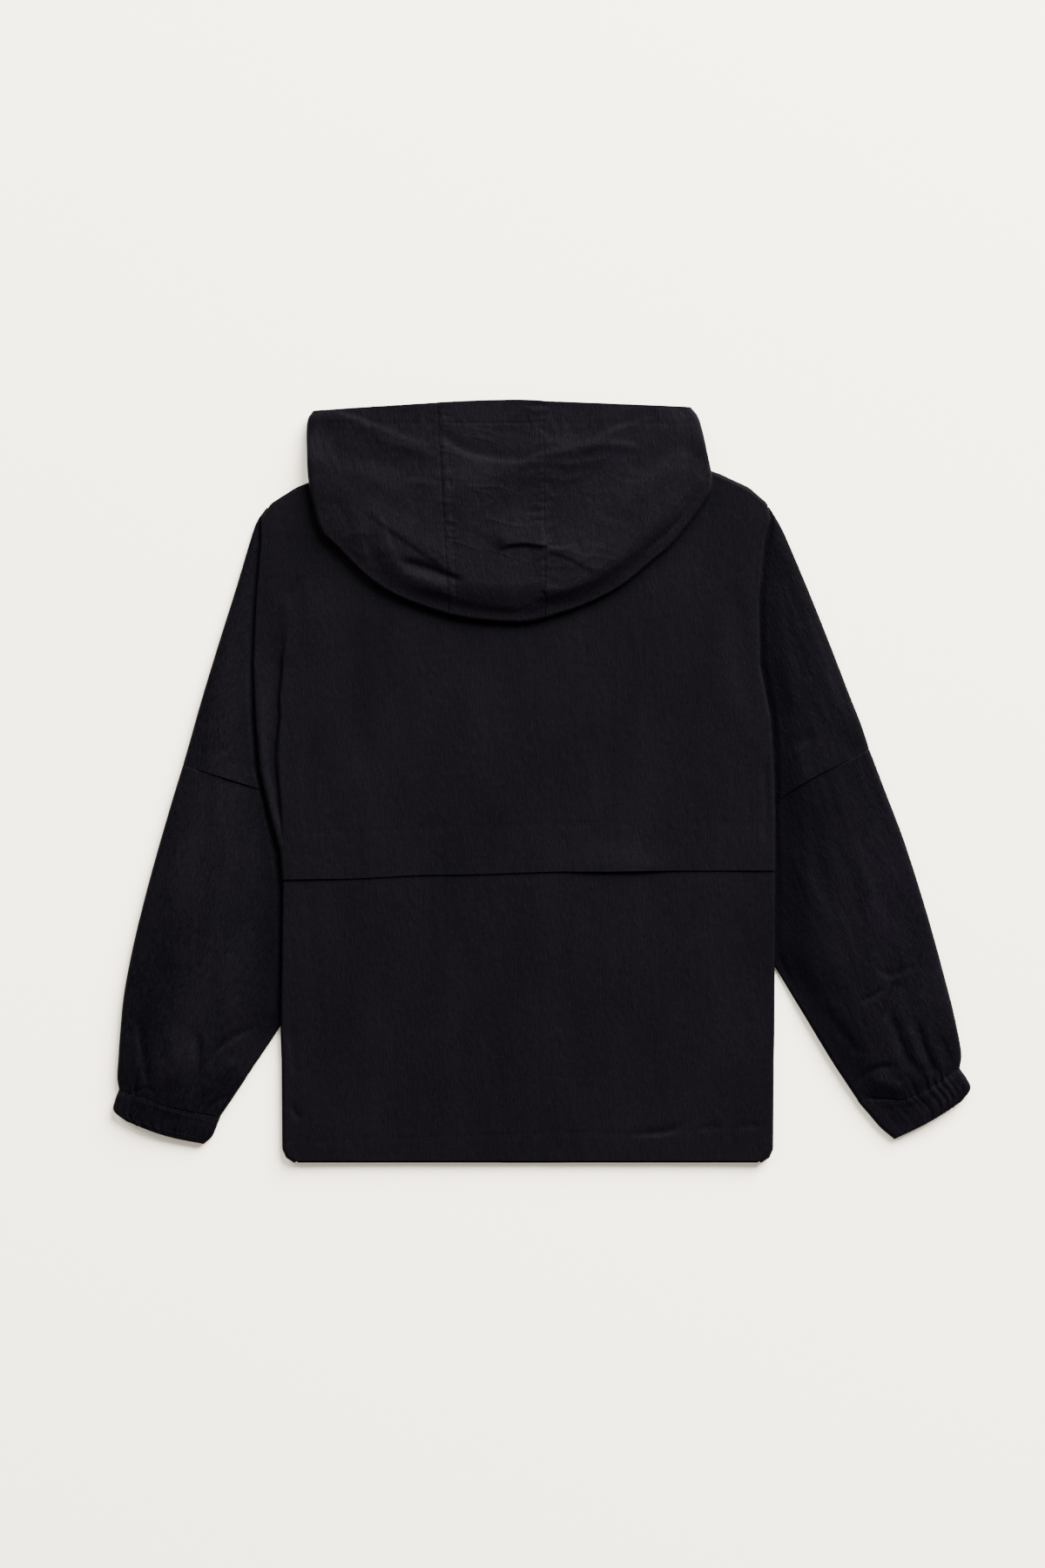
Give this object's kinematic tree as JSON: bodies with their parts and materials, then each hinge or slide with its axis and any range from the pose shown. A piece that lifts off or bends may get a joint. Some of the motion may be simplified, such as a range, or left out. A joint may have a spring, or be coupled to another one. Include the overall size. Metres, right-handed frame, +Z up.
{
  "type": "hooded raincoat laid flat",
  "caption": "Short hooded raincoat of crinkled nylon lying face down, with a cape-like back yoke, seamed sleeves, elasticated cuffs and the hood folded down over the back.",
  "frame": {"origin": "on the surface that the coat lies on, under the middle of its outline", "axes": "+X across the coat towards the wearer's right sleeve as it lies, +Y from the hem towards the hood, +Z up from the surface"},
  "size_m": [0.9268, 0.8244, 0.0267],
  "materials": {
    "shell_cloth": "matt black crinkled nylon",
    "hood_cloth": "black crinkled nylon with a faint sheen"
  },
  "bodies": {
    "root": {"back_cape": "shell_cloth", "back_lower": "shell_cloth", "front_left": "shell_cloth", "front_right": "shell_cloth", "sleeve_upper_left": "shell_cloth", "sleeve_upper_right": "shell_cloth", "sleeve_lower_left": "shell_cloth", "sleeve_lower_right": "shell_cloth", "cuff_left": "shell_cloth", "cuff_right": "shell_cloth", "hood_left": "hood_cloth", "hood_center": "hood_cloth", "hood_right": "hood_cloth"}
  },
  "joints": []
}
